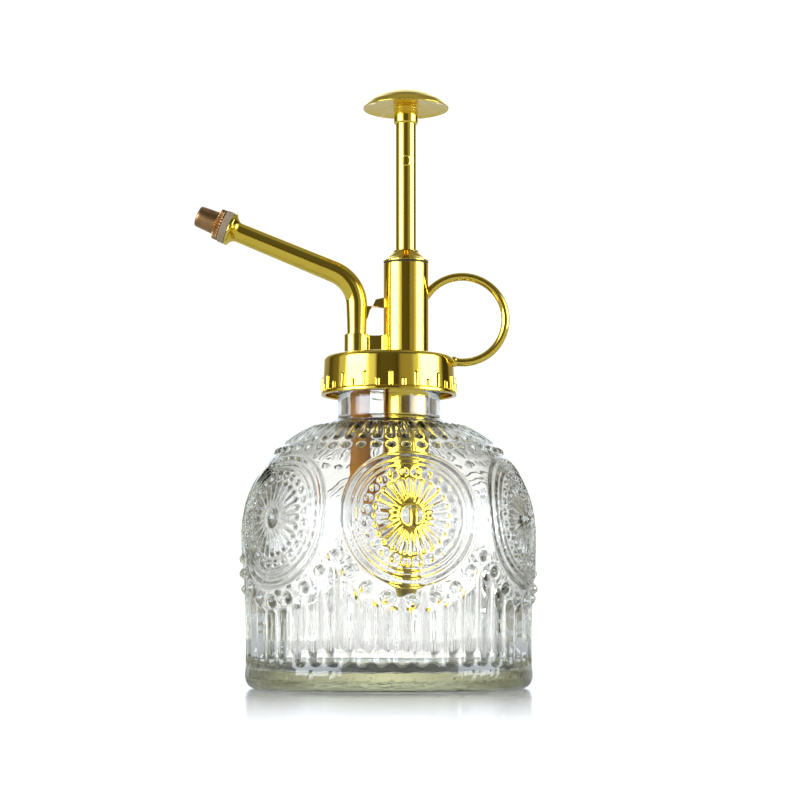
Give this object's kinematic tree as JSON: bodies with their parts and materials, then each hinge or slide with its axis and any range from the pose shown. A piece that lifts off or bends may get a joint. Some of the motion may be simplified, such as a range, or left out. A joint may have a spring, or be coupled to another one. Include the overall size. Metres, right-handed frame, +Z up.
{
  "type": "hand mister",
  "caption": "Small pressed-glass plant mister with a gold push-pump head, bent spout, adjustable nozzle and finger ring.",
  "frame": {"origin": "on the bottle's axis, on the face that the bottle stands on", "axes": "+Z up along the bottle's axis, the spout points to -X and the finger ring to +X, +Y to the left of someone who looks along +X"},
  "size_m": [0.0912, 0.078, 0.16],
  "materials": {
    "clear_glass": "clear pressed soda glass with a faint green tint in the thick base",
    "gold_plate": "polished yellow gold plating",
    "copper_brass": "satin copper brown",
    "beige_seal": "translucent beige grey",
    "brown_plastic": "translucent brown",
    "black_rubber": "matt black",
    "white_plastic": "natural moulded",
    "clear_hose": "clear soft hose",
    "steel": "stainless"
  },
  "bodies": {
    "bottle": {"bottle": "clear_glass"},
    "neck_seal": {"neck_gasket": "white_plastic"},
    "head": {"cap_shell": "gold_plate", "thread_ring": "white_plastic", "pump_barrel": "gold_plate", "gland_washer": "black_rubber", "gland_nut": "gold_plate", "rod_seal": "black_rubber", "return_spring": "steel", "ball_cage": "white_plastic", "foot_valve": "gold_plate", "dip_tube": "clear_hose", "outlet_elbow": "white_plastic", "delivery_tube": "brown_plastic", "spout_tube": "gold_plate", "finger_ring": "gold_plate"},
    "plunger": {"plunger_rod": "gold_plate", "push_knob": "gold_plate", "piston": "white_plastic", "piston_cup": "black_rubber", "piston_screw": "steel"},
    "inlet_ball": {"inlet_ball": "steel"},
    "outlet_ball": {"outlet_ball": "steel"},
    "nozzle_seal": {"nozzle_washer": "beige_seal"},
    "nozzle": {"nozzle": "copper_brass", "swirl_insert": "white_plastic"}
  },
  "joints": [
    {"name": "head_lift", "type": "slide", "parent": "bottle", "child": "neck_seal", "axis": [0, 0, 1], "range_m": [0, 0.00526]},
    {"name": "head_turn", "type": "hinge", "parent": "neck_seal", "child": "head", "pos_m": [0, 0, 0.0859], "axis": [0, 0, 1], "range_deg": [0, 450]},
    {"name": "plunger_press", "type": "slide", "parent": "head", "child": "plunger", "axis": [0, 0, -1], "range_m": [0, 0.034], "stiffness_N_per_m": 250, "springref_m": -0.01, "deforming": ["return_spring"]},
    {"name": "inlet_ball_lift", "type": "slide", "parent": "head", "child": "inlet_ball", "axis": [0, 0, 1], "range_m": [0, 0.0012]},
    {"name": "outlet_ball_lift", "type": "slide", "parent": "head", "child": "outlet_ball", "axis": [0, 0, 1], "range_m": [0, 0.0007]},
    {"name": "nozzle_out", "type": "slide", "parent": "head", "child": "nozzle_seal", "axis": [-0.9232, 0, 0.3843], "range_m": [0, 0.0012]},
    {"name": "nozzle_turn", "type": "hinge", "parent": "nozzle_seal", "child": "nozzle", "pos_m": [-0.0086, 0, 0.108], "axis": [-0.9232, 0, 0.3843], "range_deg": [0, 545]}
  ],
  "couplings": [
    {"joint": "head_lift", "follows": "head_turn", "m_per_rad": 0.00066845},
    {"joint": "nozzle_turn", "follows": "nozzle_out", "rad_per_m": 7854}
  ]
}
